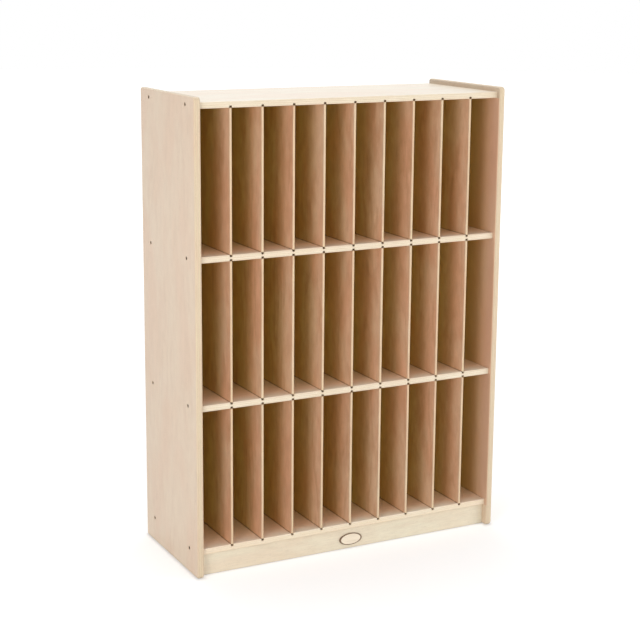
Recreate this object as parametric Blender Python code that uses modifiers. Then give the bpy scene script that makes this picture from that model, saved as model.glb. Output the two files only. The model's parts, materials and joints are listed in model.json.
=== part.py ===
"""Cubby cabinet of clear finished plywood: three rows of ten upright slots.

Two side panels carry a top panel, two shelves and a bottom shelf, which are screwed through
the sides. Thin dividers stand in dadoes that run out at the front of the boards, and their
front corners are stepped back, so each dado ends in a small open notch. A back panel lies in
rabbets, and a toe kick and a rear rail stand under the bottom shelf.

Metres, +Z up. The origin is the middle of the footprint on the floor, and the front faces -Y.
"""

import math

import bmesh
import bpy
from mathutils import Matrix

# Overall size, side panels included
WIDTH = 0.875
DEPTH = 0.350
HEIGHT = 1.200

# Board thicknesses
SIDE_THICKNESS = 0.0175
BOARD_THICKNESS = 0.016
KICK_THICKNESS = 0.016
DIVIDER_THICKNESS = 0.006
BACK_THICKNESS = 0.005

# Layout of the slots
ROWS = 3
SLOTS = 10

# Heights and setbacks
SIDE_RISE = 0.013
KICK_HEIGHT = 0.057
KICK_FLOOR_CLEARANCE = 0.0005
FRONT_SETBACK = 0.0115
KICK_SETBACK = 0.021

# Joinery: the dadoes that hold the dividers, and the rabbets that hold the back panel
DADO_DEPTH = 0.0055
DIVIDER_STEP = 0.012
RABBET_DEPTH = 0.008
TOP_RABBET_DEPTH = 0.006

# Clearances between neighbours
BUTT_GAP = 0.0003
DADO_CLEARANCE = 0.0003
BACK_CLEARANCE = 0.0003
SCREW_CLEARANCE = 0.0003

# Eased edges and rounded corners
SIDE_EDGE_RADIUS = 0.005
SIDE_REAR_EDGE_RADIUS = 0.002
SIDE_CORNER_RADIUS = 0.010
BOARD_EDGE_RADIUS = 0.003
DIVIDER_EDGE_RADIUS = 0.002
KICK_EDGE_RADIUS = 0.0015
ROUND_SEGMENTS = 4
CORNER_SEGMENTS = 6
DIVIDER_SEGMENTS = 3

# Connector screws through the sides into the board ends
SCREW_LENGTH = 0.050
SCREW_HEAD_DIAMETER = 0.0090
SCREW_SHANK_DIAMETER = 0.0050
SCREW_CORE_DIAMETER = 0.0040
SCREW_SHANK_LENGTH = 0.016
SCREW_TIP_LENGTH = 0.005
SCREW_HEAD_RIM = 0.0006
SCREW_HEAD_RECESS = 0.0008
SCREW_FROM_EDGE = 0.056
SOCKET_ACROSS_FLATS = 0.0040
SOCKET_DEPTH = 0.0026
SCREW_STEPS = 16

# How far a cutter runs past the face that it opens
CUTTER_OVERRUN = 0.002

# Derived places: X across, Y from front to rear, Z up
SIDE_OUTER_X = WIDTH / 2
SIDE_INNER_X = SIDE_OUTER_X - SIDE_THICKNESS
FRONT_Y = -DEPTH / 2
REAR_Y = DEPTH / 2
BOARD_FRONT_Y = FRONT_Y + FRONT_SETBACK
KICK_FRONT_Y = FRONT_Y + KICK_SETBACK
BACK_FRONT_Y = REAR_Y - BACK_THICKNESS
BOARD_REAR_Y = BACK_FRONT_Y - BACK_CLEARANCE
BOARD_HALF_WIDTH = SIDE_INNER_X - BUTT_GAP
TOP_HIGH_Z = HEIGHT - SIDE_RISE
TOP_LOW_Z = TOP_HIGH_Z - BOARD_THICKNESS
SLOT_HEIGHT = (TOP_LOW_Z - KICK_HEIGHT - ROWS * BOARD_THICKNESS) / ROWS
ROW_PITCH = SLOT_HEIGHT + BOARD_THICKNESS
INNER_WIDTH = 2 * SIDE_INNER_X
SLOT_WIDTH = (INNER_WIDTH - (SLOTS - 1) * DIVIDER_THICKNESS) / SLOTS
SLOT_PITCH = SLOT_WIDTH + DIVIDER_THICKNESS
FIRST_DIVIDER_X = -SIDE_INNER_X + SLOT_WIDTH + DIVIDER_THICKNESS / 2
DADO_WIDTH = DIVIDER_THICKNESS + 2 * DADO_CLEARANCE
DIVIDER_ENTRY = DADO_DEPTH - DADO_CLEARANCE
HEAD_CONE_LENGTH = (SCREW_HEAD_DIAMETER - SCREW_SHANK_DIAMETER) / 2

# Colours as linear values, with roughness and metallic
SIDE_WOOD = ((0.745, 0.604, 0.451), 0.42, 0.0)
BOARD_WOOD = ((0.802, 0.658, 0.491), 0.42, 0.0)
DIVIDER_WOOD = ((0.730, 0.520, 0.330), 0.48, 0.0)
BACK_WOOD = ((0.680, 0.500, 0.330), 0.55, 0.0)
KICK_WOOD = ((0.760, 0.620, 0.460), 0.42, 0.0)
SCREW_STEEL = ((0.120, 0.095, 0.065), 0.40, 0.9)


def clear_scene():
    """Remove every object of the start scene."""
    for obj in list(bpy.data.objects):
        bpy.data.objects.remove(obj, do_unlink=True)


def new_collection(name):
    """Make a collection under the scene's own."""
    collection = bpy.data.collections.new(name)
    bpy.context.scene.collection.children.link(collection)
    return collection


def finish_material(name, finish):
    """Principled material with a colour, a roughness and a metallic value."""
    colour, roughness, metallic = finish
    material = bpy.data.materials.new(name)
    material.use_nodes = True
    shader = material.node_tree.nodes["Principled BSDF"]
    shader.inputs["Base Color"].default_value = (*colour, 1.0)
    shader.inputs["Roughness"].default_value = roughness
    shader.inputs["Metallic"].default_value = metallic
    material.diffuse_color = (*colour, 1.0)
    return material


def add_object(name, mesh, collection, location=(0, 0, 0)):
    """Link a mesh as an object of a collection."""
    obj = bpy.data.objects.new(name, mesh)
    obj.location = location
    collection.objects.link(obj)
    return obj


def box_bmesh(low, high):
    """Cube scaled to the size between two corners, centred on its own origin."""
    bm = bmesh.new()
    bmesh.ops.create_cube(bm, size=1.0)
    size = [high[i] - low[i] for i in range(3)]
    bmesh.ops.scale(bm, vec=size, verts=bm.verts)
    return bm


def middle(low, high):
    """Point half way between two corners."""
    return [(low[i] + high[i]) / 2 for i in range(3)]


def mesh_from(bm, name, material=None):
    """Turn a bmesh into a mesh that holds one material."""
    mesh = bpy.data.meshes.new(name)
    bm.to_mesh(mesh)
    bm.free()
    if material is not None:
        mesh.materials.append(material)
    return mesh


def box(name, low, high, collection, material=None):
    """Plain box between two corners, with its origin at its middle."""
    mesh = mesh_from(box_bmesh(low, high), name, material)
    return add_object(name, mesh, collection, middle(low, high))


def edge_middle(edge):
    """Middle of an edge, in its object's space."""
    return (edge.verts[0].co + edge.verts[1].co) / 2


def set_bevel_weights(bm, weight_of):
    """Store a bevel weight on each edge, from the edge's middle."""
    layer = bm.edges.layers.float.new("bevel_weight_edge")
    for edge in bm.edges:
        edge[layer] = weight_of(edge)


def add_bevel(obj, radius, segments):
    """Round the weighted edges of an object."""
    bevel = obj.modifiers.new("eased_edges", "BEVEL")
    bevel.limit_method = "WEIGHT"
    bevel.width = radius
    bevel.segments = segments
    bevel.use_clamp_overlap = True


def cut(obj, cutter):
    """Subtract a cutter from an object."""
    boolean = obj.modifiers.new("cut_" + cutter.name, "BOOLEAN")
    boolean.operation = "DIFFERENCE"
    boolean.solver = "EXACT"
    boolean.object = cutter


def hide_cutter(obj):
    """Show a cutter as a wire only, and never render it."""
    obj.display_type = "WIRE"
    obj.hide_render = True


def cutter_box(name, low, high, cutters):
    """Box shaped cutter between two corners."""
    obj = box(name, low, high, cutters)
    hide_cutter(obj)
    return obj


def board(name, low, high, radius, parts, material, eased=("front",)):
    """Board whose long front edges, and rear ones if named, are rounded over."""
    bm = box_bmesh(low, high)
    half_depth = (high[1] - low[1]) / 2
    sides = [sign for sign, side in ((-1, "front"), (1, "rear")) if side in eased]

    def weight_of(edge):
        """1 on the edges that run along X at an eased side."""
        along_x = abs(edge.verts[0].co.x - edge.verts[1].co.x) > abs(radius)
        at_side = any(abs(edge_middle(edge).y - sign * half_depth) < radius / 10 for sign in sides)
        return 1.0 if along_x and at_side else 0.0

    set_bevel_weights(bm, weight_of)
    obj = add_object(name, mesh_from(bm, name, material), parts, middle(low, high))
    add_bevel(obj, radius, ROUND_SEGMENTS)
    return obj


def side_panel_mesh(name, material):
    """Side panel blank: rounded front corners and an eased outline on both faces."""
    low = (0, FRONT_Y, 0)
    high = (SIDE_THICKNESS, REAR_Y, HEIGHT)
    bm = box_bmesh(low, high)
    front = -DEPTH / 2
    rear = DEPTH / 2
    half = SIDE_THICKNESS / 2
    tiny = SIDE_THICKNESS / 1000
    corners = []
    for edge in bm.edges:
        point = edge_middle(edge)
        if abs(point.x) < tiny and abs(point.y - front) < tiny:
            corners.append(edge)
    bmesh.ops.bevel(bm, geom=corners, offset=SIDE_CORNER_RADIUS, segments=CORNER_SEGMENTS,
                    profile=0.5, affect="EDGES")

    def weight_of(edge):
        """Outline edges are eased in full, and the upright rear ones less."""
        points = [vert.co for vert in edge.verts]
        on_face = any(all(abs(p.x - sign * half) < tiny for p in points) for sign in (-1, 1))
        if not on_face:
            return 0.0
        at_rear = all(abs(p.y - rear) < tiny for p in points)
        return SIDE_REAR_EDGE_RADIUS / SIDE_EDGE_RADIUS if at_rear else 1.0

    set_bevel_weights(bm, weight_of)
    return mesh_from(bm, name, material)


def rabbet_cutter(side_name, sign, cutters):
    """Cutter for the rear inner rabbet of a side, up to the underside of the top panel."""
    inner = sign * (SIDE_INNER_X - CUTTER_OVERRUN)
    deep = sign * (SIDE_INNER_X + RABBET_DEPTH)
    low = (min(inner, deep), BACK_FRONT_Y - BACK_CLEARANCE, -CUTTER_OVERRUN)
    high = (max(inner, deep), REAR_Y + CUTTER_OVERRUN, TOP_LOW_Z + TOP_RABBET_DEPTH)
    return cutter_box("cut_rabbet_" + side_name, low, high, cutters)


def make_sides(parts, cutters):
    """Left and right side panels, each with its rabbet for the back panel."""
    sides = {}
    for side_name, sign in (("left", -1), ("right", 1)):
        name = "side_panel_" + side_name
        mesh = side_panel_mesh(name, finish_material(name + "_plywood", SIDE_WOOD))
        centre = (sign * (SIDE_INNER_X + SIDE_THICKNESS / 2), 0, HEIGHT / 2)
        obj = add_object(name, mesh, parts, centre)
        add_bevel(obj, SIDE_EDGE_RADIUS, ROUND_SEGMENTS)
        cut(obj, rabbet_cutter(side_name, sign, cutters))
        sides[side_name] = obj
    return sides


def shelf_low_z(level):
    """Underside of a board: level 0 is the bottom shelf and ROWS the top panel."""
    return KICK_HEIGHT + level * ROW_PITCH


def dado_cutter(name, low_z, high_z, cutters):
    """Row of box cutters, one for each divider, that run out at the front and the rear."""
    low = (FIRST_DIVIDER_X - DADO_WIDTH / 2, BOARD_FRONT_Y - CUTTER_OVERRUN, low_z)
    high = (FIRST_DIVIDER_X + DADO_WIDTH / 2, REAR_Y + CUTTER_OVERRUN, high_z)
    obj = cutter_box(name, low, high, cutters)
    array = obj.modifiers.new("one_for_each_divider", "ARRAY")
    array.count = SLOTS - 1
    array.use_relative_offset = False
    array.use_constant_offset = True
    array.constant_offset_displace = (SLOT_PITCH, 0, 0)
    return obj


def board_names():
    """Names of the boards from the bottom up."""
    middle_names = ["lower_shelf", "upper_shelf"]
    if ROWS != len(middle_names) + 1:
        middle_names = ["shelf_%d" % (level + 1) for level in range(ROWS - 1)]
    return ["bottom_shelf"] + middle_names + ["top_panel"]


def make_boards(parts, cutters):
    """Top panel, shelves and bottom shelf, with dadoes on the faces that hold dividers."""
    boards = []
    for level, name in enumerate(board_names()):
        low_z = shelf_low_z(level)
        high_z = low_z + BOARD_THICKNESS
        is_top = level == ROWS
        rear_y = REAR_Y if is_top else BOARD_REAR_Y
        low = (-BOARD_HALF_WIDTH, BOARD_FRONT_Y, low_z)
        high = (BOARD_HALF_WIDTH, rear_y, high_z)
        material = finish_material(name + "_plywood", BOARD_WOOD)
        obj = board(name, low, high, BOARD_EDGE_RADIUS, parts, material)
        if level > 0:
            under = dado_cutter("cut_dadoes_under_" + name, low_z - CUTTER_OVERRUN,
                                low_z + DADO_DEPTH, cutters)
            cut(obj, under)
        if not is_top:
            above = dado_cutter("cut_dadoes_above_" + name, high_z - DADO_DEPTH,
                                high_z + CUTTER_OVERRUN, cutters)
            cut(obj, above)
        if is_top:
            cut(obj, top_rabbet_cutter(low_z, cutters))
        boards.append(obj)
    return boards


def top_rabbet_cutter(low_z, cutters):
    """Cutter for the rabbet under the rear of the top panel, which houses the back panel."""
    reach = BOARD_HALF_WIDTH + CUTTER_OVERRUN
    low = (-reach, BACK_FRONT_Y - BACK_CLEARANCE, low_z - CUTTER_OVERRUN)
    high = (reach, REAR_Y + CUTTER_OVERRUN, low_z + TOP_RABBET_DEPTH)
    return cutter_box("cut_rabbet_top_panel", low, high, cutters)


def divider_outline():
    """Outline of a divider in Y and Z about its middle, with a step at both front corners."""
    half_depth = (BOARD_REAR_Y - BOARD_FRONT_Y) / 2
    shoulder = SLOT_HEIGHT / 2 - BUTT_GAP
    end = SLOT_HEIGHT / 2 + DIVIDER_ENTRY
    step = DIVIDER_STEP - half_depth
    upper = [(half_depth, end), (step, end), (step, shoulder), (-half_depth, shoulder)]
    lower = [(y, -z) for y, z in reversed(upper)]
    return upper + lower


def divider_mesh(material):
    """Thin upright panel: its outline carried through its thickness, nose edges to be rounded."""
    outline = divider_outline()
    half = DIVIDER_THICKNESS / 2
    bm = bmesh.new()
    right = [bm.verts.new((half, y, z)) for y, z in outline]
    left = [bm.verts.new((-half, y, z)) for y, z in outline]
    bm.faces.new(right)
    bm.faces.new(list(reversed(left)))
    for i in range(len(outline)):
        k = (i + 1) % len(outline)
        bm.faces.new((right[i], left[i], left[k], right[k]))
    bmesh.ops.recalc_face_normals(bm, faces=bm.faces)
    front = min(y for y, z in outline)
    tiny = DIVIDER_THICKNESS / 1000

    def weight_of(edge):
        """1 on the upright edges at the front."""
        upright = abs(edge.verts[0].co.z - edge.verts[1].co.z) > tiny
        at_front = abs(edge_middle(edge).y - front) < tiny
        return 1.0 if upright and at_front else 0.0

    set_bevel_weights(bm, weight_of)
    return mesh_from(bm, "divider", material)


def make_dividers(parts):
    """One divider for each dado of each row, all from one mesh."""
    mesh = divider_mesh(finish_material("divider_plywood", DIVIDER_WOOD))
    middle_y = (BOARD_FRONT_Y + BOARD_REAR_Y) / 2
    for row in range(ROWS):
        middle_z = shelf_low_z(row) + BOARD_THICKNESS + SLOT_HEIGHT / 2
        for i in range(SLOTS - 1):
            name = "divider_row%d_%d" % (row + 1, i + 1)
            place = (FIRST_DIVIDER_X + i * SLOT_PITCH, middle_y, middle_z)
            obj = add_object(name, mesh, parts, place)
            add_bevel(obj, DIVIDER_EDGE_RADIUS, DIVIDER_SEGMENTS)


def make_back_panel(parts):
    """Back panel in the rabbets of the sides and the top panel."""
    half_width = SIDE_INNER_X + RABBET_DEPTH - BACK_CLEARANCE
    top_z = TOP_LOW_Z + TOP_RABBET_DEPTH - BACK_CLEARANCE
    low = (-half_width, BACK_FRONT_Y, KICK_FLOOR_CLEARANCE)
    high = (half_width, REAR_Y, top_z)
    material = finish_material("back_panel_plywood", BACK_WOOD)
    return box("back_panel", low, high, parts, material)


def make_base_boards(parts):
    """Toe kick at the front and rail at the rear, both under the bottom shelf."""
    top_z = KICK_HEIGHT - BUTT_GAP
    rail_rear_y = BOARD_REAR_Y
    places = (("toe_kick", KICK_FRONT_Y, KICK_FRONT_Y + KICK_THICKNESS),
              ("rear_rail", rail_rear_y - KICK_THICKNESS, rail_rear_y))
    for name, front_y, rear_y in places:
        low = (-BOARD_HALF_WIDTH, front_y, KICK_FLOOR_CLEARANCE)
        high = (BOARD_HALF_WIDTH, rear_y, top_z)
        material = finish_material(name + "_plywood", KICK_WOOD)
        board(name, low, high, KICK_EDGE_RADIUS, parts, material)


def screw_profile(clearance):
    """Half outline of the screw from the head's face down, widened by a clearance.

    X is the distance from the axis. Z is 0 at the outer face of the side panel and runs
    down into the wood. With a clearance the outline is that of the hole, open at the face.
    """
    head = SCREW_HEAD_DIAMETER / 2 + clearance
    shank = SCREW_SHANK_DIAMETER / 2 + clearance
    core = SCREW_CORE_DIAMETER / 2 + clearance
    face = -SCREW_HEAD_RECESS
    rim = face - SCREW_HEAD_RIM
    neck = rim - HEAD_CONE_LENGTH
    shank_end = neck - SCREW_SHANK_LENGTH
    tip_start = face - SCREW_LENGTH + SCREW_TIP_LENGTH
    tip_end = face - SCREW_LENGTH - clearance
    start = face if clearance == 0 else CUTTER_OVERRUN
    return [(0, start), (head, start), (head, rim), (shank, neck), (shank, shank_end),
            (core, shank_end - (shank - core)), (core, tip_start), (core / 3, tip_end),
            (0, tip_end)]


def turned_mesh(name, profile):
    """Closed mesh of a profile turned about Z by a Screw modifier."""
    outline = bpy.data.meshes.new(name + "_outline")
    edges = [(i, i + 1) for i in range(len(profile) - 1)]
    outline.from_pydata([(x, 0, z) for x, z in profile], edges, [])
    helper = bpy.data.objects.new(name + "_helper", outline)
    bpy.context.scene.collection.objects.link(helper)
    turn = helper.modifiers.new("turn", "SCREW")
    turn.axis = "Z"
    turn.angle = 2 * math.pi
    turn.steps = SCREW_STEPS
    turn.render_steps = SCREW_STEPS
    turn.use_merge_vertices = True
    turn.merge_threshold = 0.00001
    graph = bpy.context.evaluated_depsgraph_get()
    mesh = bpy.data.meshes.new_from_object(helper.evaluated_get(graph))
    mesh.name = name
    bpy.data.objects.remove(helper, do_unlink=True)
    bpy.data.meshes.remove(outline)
    return mesh


def socket_cutter_mesh():
    """Hexagonal prism for the drive socket in the screw's face."""
    bm = bmesh.new()
    radius = SOCKET_ACROSS_FLATS / math.sqrt(3)
    depth = SOCKET_DEPTH + SCREW_HEAD_RECESS + CUTTER_OVERRUN
    place = Matrix.Translation((0, 0, CUTTER_OVERRUN - depth / 2))
    bmesh.ops.create_cone(bm, cap_ends=True, segments=6, radius1=radius, radius2=radius,
                          depth=depth, matrix=place)
    return mesh_from(bm, "cut_socket")


def screw_body_mesh(cutters):
    """Screw mesh with its hexagonal socket cut, shaded smooth on its round faces."""
    blank = add_object("screw_blank", turned_mesh("screw_blank", screw_profile(0)), cutters)
    socket = add_object("cut_socket", socket_cutter_mesh(), cutters)
    hide_cutter(blank)
    hide_cutter(socket)
    cut(blank, socket)
    graph = bpy.context.evaluated_depsgraph_get()
    mesh = bpy.data.meshes.new_from_object(blank.evaluated_get(graph))
    mesh.name = "connector_screw"
    mesh.shade_smooth()
    mesh.set_sharp_from_angle(angle=math.radians(30))
    bpy.data.objects.remove(blank, do_unlink=True)
    return mesh


def screw_places(sign):
    """Where the screws of one side enter: two for each board level."""
    places = []
    for level in range(ROWS + 1):
        z = shelf_low_z(level) + BOARD_THICKNESS / 2
        for y in (FRONT_Y + SCREW_FROM_EDGE, REAR_Y - SCREW_FROM_EDGE):
            places.append((level, (sign * SIDE_OUTER_X, y, z)))
    return places


def make_screws(parts, cutters, sides, boards):
    """Sixteen screws, with their stepped holes through the sides and into the board ends."""
    mesh = screw_body_mesh(cutters)
    mesh.materials.append(finish_material("screw_bronzed_steel", SCREW_STEEL))
    hole = turned_mesh("cut_screw_hole", screw_profile(SCREW_CLEARANCE))
    for side_name, sign in (("left", -1), ("right", 1)):
        for i, (level, place) in enumerate(screw_places(sign)):
            end = "front" if i % 2 == 0 else "rear"
            label = "%s_%s_%s" % (side_name, boards[level].name, end)
            screw = add_object("screw_" + label, mesh, parts, place)
            cutter = add_object("cut_screw_" + label, hole, cutters, place)
            hide_cutter(cutter)
            for obj in (screw, cutter):
                obj.rotation_euler = (0, sign * math.pi / 2, 0)
            cut(sides[side_name], cutter)
            cut(boards[level], cutter)


def main():
    """Build the whole cabinet."""
    clear_scene()
    parts = new_collection("cubby_cabinet")
    cutters = new_collection("cutters")
    sides = make_sides(parts, cutters)
    boards = make_boards(parts, cutters)
    make_dividers(parts)
    make_back_panel(parts)
    make_base_boards(parts)
    make_screws(parts, cutters, sides, boards)


main()
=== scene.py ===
"""Finished looks of the cubby cabinet, laid out as a Blender add-on and run as a script.

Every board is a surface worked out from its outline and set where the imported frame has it. The
frame gives the places and sizes, the settings below give the eased edges, finishes and light.
Metres, +Z up, and the front faces -Y.
"""

import json
import math

import bmesh
import bpy
import numpy as np
from mathutils import Matrix, Vector

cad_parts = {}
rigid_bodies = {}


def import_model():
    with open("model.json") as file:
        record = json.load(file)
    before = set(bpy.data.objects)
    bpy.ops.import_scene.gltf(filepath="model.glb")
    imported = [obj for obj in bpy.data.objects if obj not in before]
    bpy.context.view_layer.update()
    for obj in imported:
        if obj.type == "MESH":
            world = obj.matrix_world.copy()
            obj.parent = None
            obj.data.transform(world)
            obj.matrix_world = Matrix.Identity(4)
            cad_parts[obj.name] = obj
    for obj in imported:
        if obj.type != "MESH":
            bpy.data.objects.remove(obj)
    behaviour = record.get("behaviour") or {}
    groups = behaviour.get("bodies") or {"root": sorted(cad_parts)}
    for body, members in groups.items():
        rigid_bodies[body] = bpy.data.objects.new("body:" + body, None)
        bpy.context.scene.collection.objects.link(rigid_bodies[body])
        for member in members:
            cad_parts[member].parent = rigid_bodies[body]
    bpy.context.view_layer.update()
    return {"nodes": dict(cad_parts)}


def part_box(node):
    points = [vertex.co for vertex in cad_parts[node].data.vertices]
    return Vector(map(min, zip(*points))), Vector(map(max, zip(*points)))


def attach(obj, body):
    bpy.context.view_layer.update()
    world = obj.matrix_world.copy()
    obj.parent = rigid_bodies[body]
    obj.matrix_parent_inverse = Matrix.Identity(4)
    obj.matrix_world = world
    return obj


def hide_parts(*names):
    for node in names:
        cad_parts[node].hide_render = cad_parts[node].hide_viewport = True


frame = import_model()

bl_info = {
    "name": "Cubby cabinet",
    "version": (1, 0, 0),
    "blender": (4, 5, 0),
    "location": "3D View > Sidebar > Cubby cabinet",
    "description": "Builds a finished plywood cubby cabinet around its packed frame",
    "category": "Object",
}

BODY = "root"
QUARTER = math.pi / 2
MERGE_DISTANCE = 1e-6
SHARP_TURN = math.radians(33)  # an edge that turns further stays sharp
OVERCUT = 0.002  # how far a cutting form stands out of the piece that it cuts
BACK_ROUND = 0.001
BACK_STEPS = 3
PLAQUE_DROP = 0.003  # of its middle under the toe kick's
PLAQUE_ASIDE = 0.006
PLAQUE_EASING = 0.0006
PLAQUE_SEAT = 0.00002
PLAQUE_SIDES = 96
PLAQUE_STEPS = 4
FAR = 10.0  # past every piece, where an outline isn't held back
ALONG_X, ALONG_Y, ALONG_Z = (0, 1, 2), (2, 0, 1), (1, 2, 0)
SIDES = (("left", -1), ("right", 1))
BOARD_NODES = ("bottom_shelf", "lower_shelf", "upper_shelf", "top_panel")


def node_box(name):
    """Lowest and highest corner of a frame node as one array."""
    return np.array([list(corner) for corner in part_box(name)])


# Places read from the frame
SIDE_BOX = node_box("side_panel_right")
BACK_BOX = node_box("back_panel")
KICK_BOX = node_box("toe_kick")
SCREW_BOX = node_box("screw_right_top_panel_front")
BOARD_BOXES = np.array([node_box(name) for name in BOARD_NODES])
ROWS = len(BOARD_NODES) - 1
DIVIDERS_PER_ROW = sum(name.startswith("divider_row1_") for name in frame["nodes"])
DIVIDER_BOXES = np.array([[node_box(f"divider_row{row + 1}_{place + 1}")
                           for place in range(DIVIDERS_PER_ROW)] for row in range(ROWS)])
SIDE_INNER, SIDE_OUTER = SIDE_BOX[:, 0]
FRONT, REAR = SIDE_BOX[:, 1]
TALL = SIDE_BOX[1, 2]
BOARD_FRONT = BOARD_BOXES[0, 0, 1]
BOTTOM_LOW, TOP_LOW = BOARD_BOXES[[0, -1], 0, 2]
BOARD_THICKNESS = BOARD_BOXES[0, 1, 2] - BOTTOM_LOW
BOARD_PITCH = BOARD_BOXES[1, 0, 2] - BOTTOM_LOW
DIVIDER_LEFT, DIVIDER_RIGHT = DIVIDER_BOXES[0, 0, :, 0]
DIVIDER_THICKNESS = DIVIDER_RIGHT - DIVIDER_LEFT
DIVIDER_PITCH = DIVIDER_BOXES[0, 1, 0, 0] - DIVIDER_LEFT


def length(name, default, description):
    """Length setting in metres."""
    return bpy.props.FloatProperty(name=name, description=description, default=default,
                                   min=0.0, precision=5, subtype="DISTANCE", unit="LENGTH")


def colour(name, default, description, high=1.0):
    """Colour setting, as linear values."""
    return bpy.props.FloatVectorProperty(name=name, description=description, default=default,
                                         size=3, min=0.0, max=high, subtype="COLOR")


def share(name, default, description, high=1.0):
    """Plain number setting."""
    return bpy.props.FloatProperty(name=name, description=description, default=default,
                                   min=0.0, max=high, subtype="FACTOR")


def whole(name, default, description):
    """Whole number setting."""
    return bpy.props.IntProperty(name=name, description=description, default=default, min=1)


class CabinetSizes(bpy.types.PropertyGroup):
    """Eased edges, joints and fastenings that the frame's boxes don't give."""

    side_round: length("Side corner round", 0.010, "Radius of the front corners of a side panel")
    side_rear_round: length("Side rear round", 0.005, "Radius of the rear corners of a side panel")
    side_easing: length("Side easing", 0.005, "Round along the edges of a side panel")
    side_rear_easing: length("Side rear easing", 0.002, "Round along the rear edge of a side panel")
    board_easing: length("Board easing", 0.003, "Round along the front edges of a shelf")
    arris: length("Arris", 0.0004, "Small round that takes the sharpness off a sawn edge")
    divider_easing: length("Divider easing", 0.0021, "Round along the front edge of a divider")
    divider_step: length("Divider step", 0.012, "Step at each front corner of a divider")
    kick_easing: length("Kick easing", 0.0015, "Round along the front edges of the toe kick")
    gap: length("Joint gap", 0.0003, "Gap left in every joint")
    dado_gap: length("Dado gap", 0.0006, "Gap on each side of a divider in its dado")
    side_rabbet: length("Side rabbet", 0.008, "Width of the rabbet in a side for the back panel")
    top_rabbet: length("Top rabbet", 0.006, "Height of the rabbet in the top for the back panel")
    screw_recess: length("Screw recess", 0.0008, "Depth of a connector screw under the face")
    plaque_width: length("Plaque width", 0.066, "Width of the blank plaque on the toe kick")
    plaque_height: length("Plaque height", 0.032, "Height of the blank plaque")
    plaque_thickness: length("Plaque thickness", 0.003, "Thickness of the blank plaque")
    round_steps: whole("Round steps", 8, "Steps in each quarter round")
    turned_steps: whole("Turned steps", 48, "Steps round a connector screw, a multiple of six")


class CabinetFinish(bpy.types.PropertyGroup):
    """Colours and strengths of the wood, the lacquer and the metal."""

    side_wood: colour("Side wood", (0.710, 0.552, 0.403), "Face veneer of the side panels")
    board_wood: colour("Board wood", (0.893, 0.797, 0.650), "Face veneer of the top and shelves")
    kick_wood: colour("Kick wood", (0.792, 0.712, 0.555), "Face veneer of toe kick and rear rail")
    divider_wood: colour("Divider wood", (0.710, 0.541, 0.395), "Face veneer of the dividers")
    back_wood: colour("Back wood", (0.640, 0.460, 0.300), "Face veneer of the back panel")
    edge_wood: colour("Edge wood", (0.785, 0.658, 0.463), "Sanded edge plies that run with the grain")
    # Painted shade: these tints darken and warm the wood inside the slots, more towards the back, and
    # darken the sides' faces above the top, in place of the shade and bounce light there
    side_tone: colour("Side tone", (0.95, 0.79, 0.74), "Tint of the sides' inner faces")
    board_tone: colour("Board tone", (1.09, 0.94, 0.85), "Tint of the boards inside the slots", 2.0)
    divider_tone: colour("Divider tone", (1.04, 0.935, 0.865), "Tint of the dividers' faces", 2.0)
    rim_tone: colour("Rim tone", (0.74, 0.76, 0.76), "Tint of the sides' faces above the top")
    deep_tone: colour("Deep tone", (0.98, 1.10, 0.47), "Further tint deep inside the slots", 2.0)
    deep_reach: length("Deep reach", 0.15, "Depth at which the deep tone is complete")
    # Painted shade: a dark colour on the dado walls and along the corners where dividers meet boards,
    # where shade falls
    scorched: colour("Scorched", (0.27, 0.16, 0.07), "Walls of the dadoes, browned by the cutter")
    joint_line: share("Joint line", 0.65, "Strength of the dark line where dividers meet boards")
    burnt_edge: colour("Burnt edge", (0.13, 0.06, 0.02), "Border and edge of the laser cut plaque")
    screw_metal: colour("Screw metal", (0.105, 0.078, 0.052), "Bronzed steel of the screws")
    figure: share("Figure", 0.30, "Strength of the growth rings on the faces")
    fibre: share("Fibre", 0.16, "Strength of the fine fibres along the grain")
    flecks: share("Flecks", 0.25, "Strength of the short pores")
    gloss: share("Roughness", 0.42, "Roughness of the clear lacquer")
    coat: share("Coat", 0.40, "Weight of the clear lacquer's own gloss")
    coat_gloss: share("Coat roughness", 0.22, "Roughness of that gloss")
    bump: share("Bump", 0.30, "Strength of the relief of grain and lacquer")


class CabinetStage(bpy.types.PropertyGroup):
    """Floor, light and camera."""

    sky: share("Sky", 0.563, "Strength of the even light", 10.0)
    left: share("Left lamp", 41.7, "Power of the lamp at the front left in watts", 1000.0)
    right: share("Right lamp", 34.5, "Power of the lamp at the front right in watts", 1000.0)
    front: share("Front lamp", 16.2, "Power of the lamp at the front in watts", 1000.0)
    above: share("Lamp above", 12.6, "Power of the lamp high on the left in watts", 1000.0)
    behind: share("Rear lamp", 33.4, "Power of the lamp above and behind in watts", 1000.0)
    floor: colour("Floor", (0.82, 0.82, 0.82), "Colour of the floor")
    floor_near: share("Floor lift near", 0.36, "White added to the floor near the cabinet")
    floor_far: share("Floor lift far", 0.70, "White added to the floor far from the cabinet")
    floor_foot: share("Floor lift at the foot", 0.45, "Share of that white right at the cabinet")


# Shapes


def rectangle(low, high):
    """Corners of a rectangle in turn, from its lowest and its highest."""
    return [(low[0], low[1]), (high[0], low[1]), (high[0], high[1]), (low[0], high[1])]


def rounded_outline(corners, radii, steps):
    """Closed outline whose right angled corners are rounded, and its outward directions.

    For a corner P, reached along the unit direction u and left along v, the round of radius r is
    P - r u + r v + r (u sin t - v cos t), with t from nothing to a quarter turn.
    """
    corners = np.asarray(corners, float)
    radii = np.asarray(radii, float)[:, None, None]
    arrive = corners - np.roll(corners, 1, axis=0)
    arrive = (arrive / np.linalg.norm(arrive, axis=1, keepdims=True))[:, None, :]
    leave = np.roll(arrive, -1, axis=0)
    turn = np.linspace(0.0, QUARTER, steps + 1)[None, :, None]
    outward = arrive * np.sin(turn) - leave * np.cos(turn)
    points = corners[:, None, :] - radii * arrive + radii * leave + radii * outward
    return points.reshape(-1, 2), outward.reshape(-1, 2)


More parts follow.
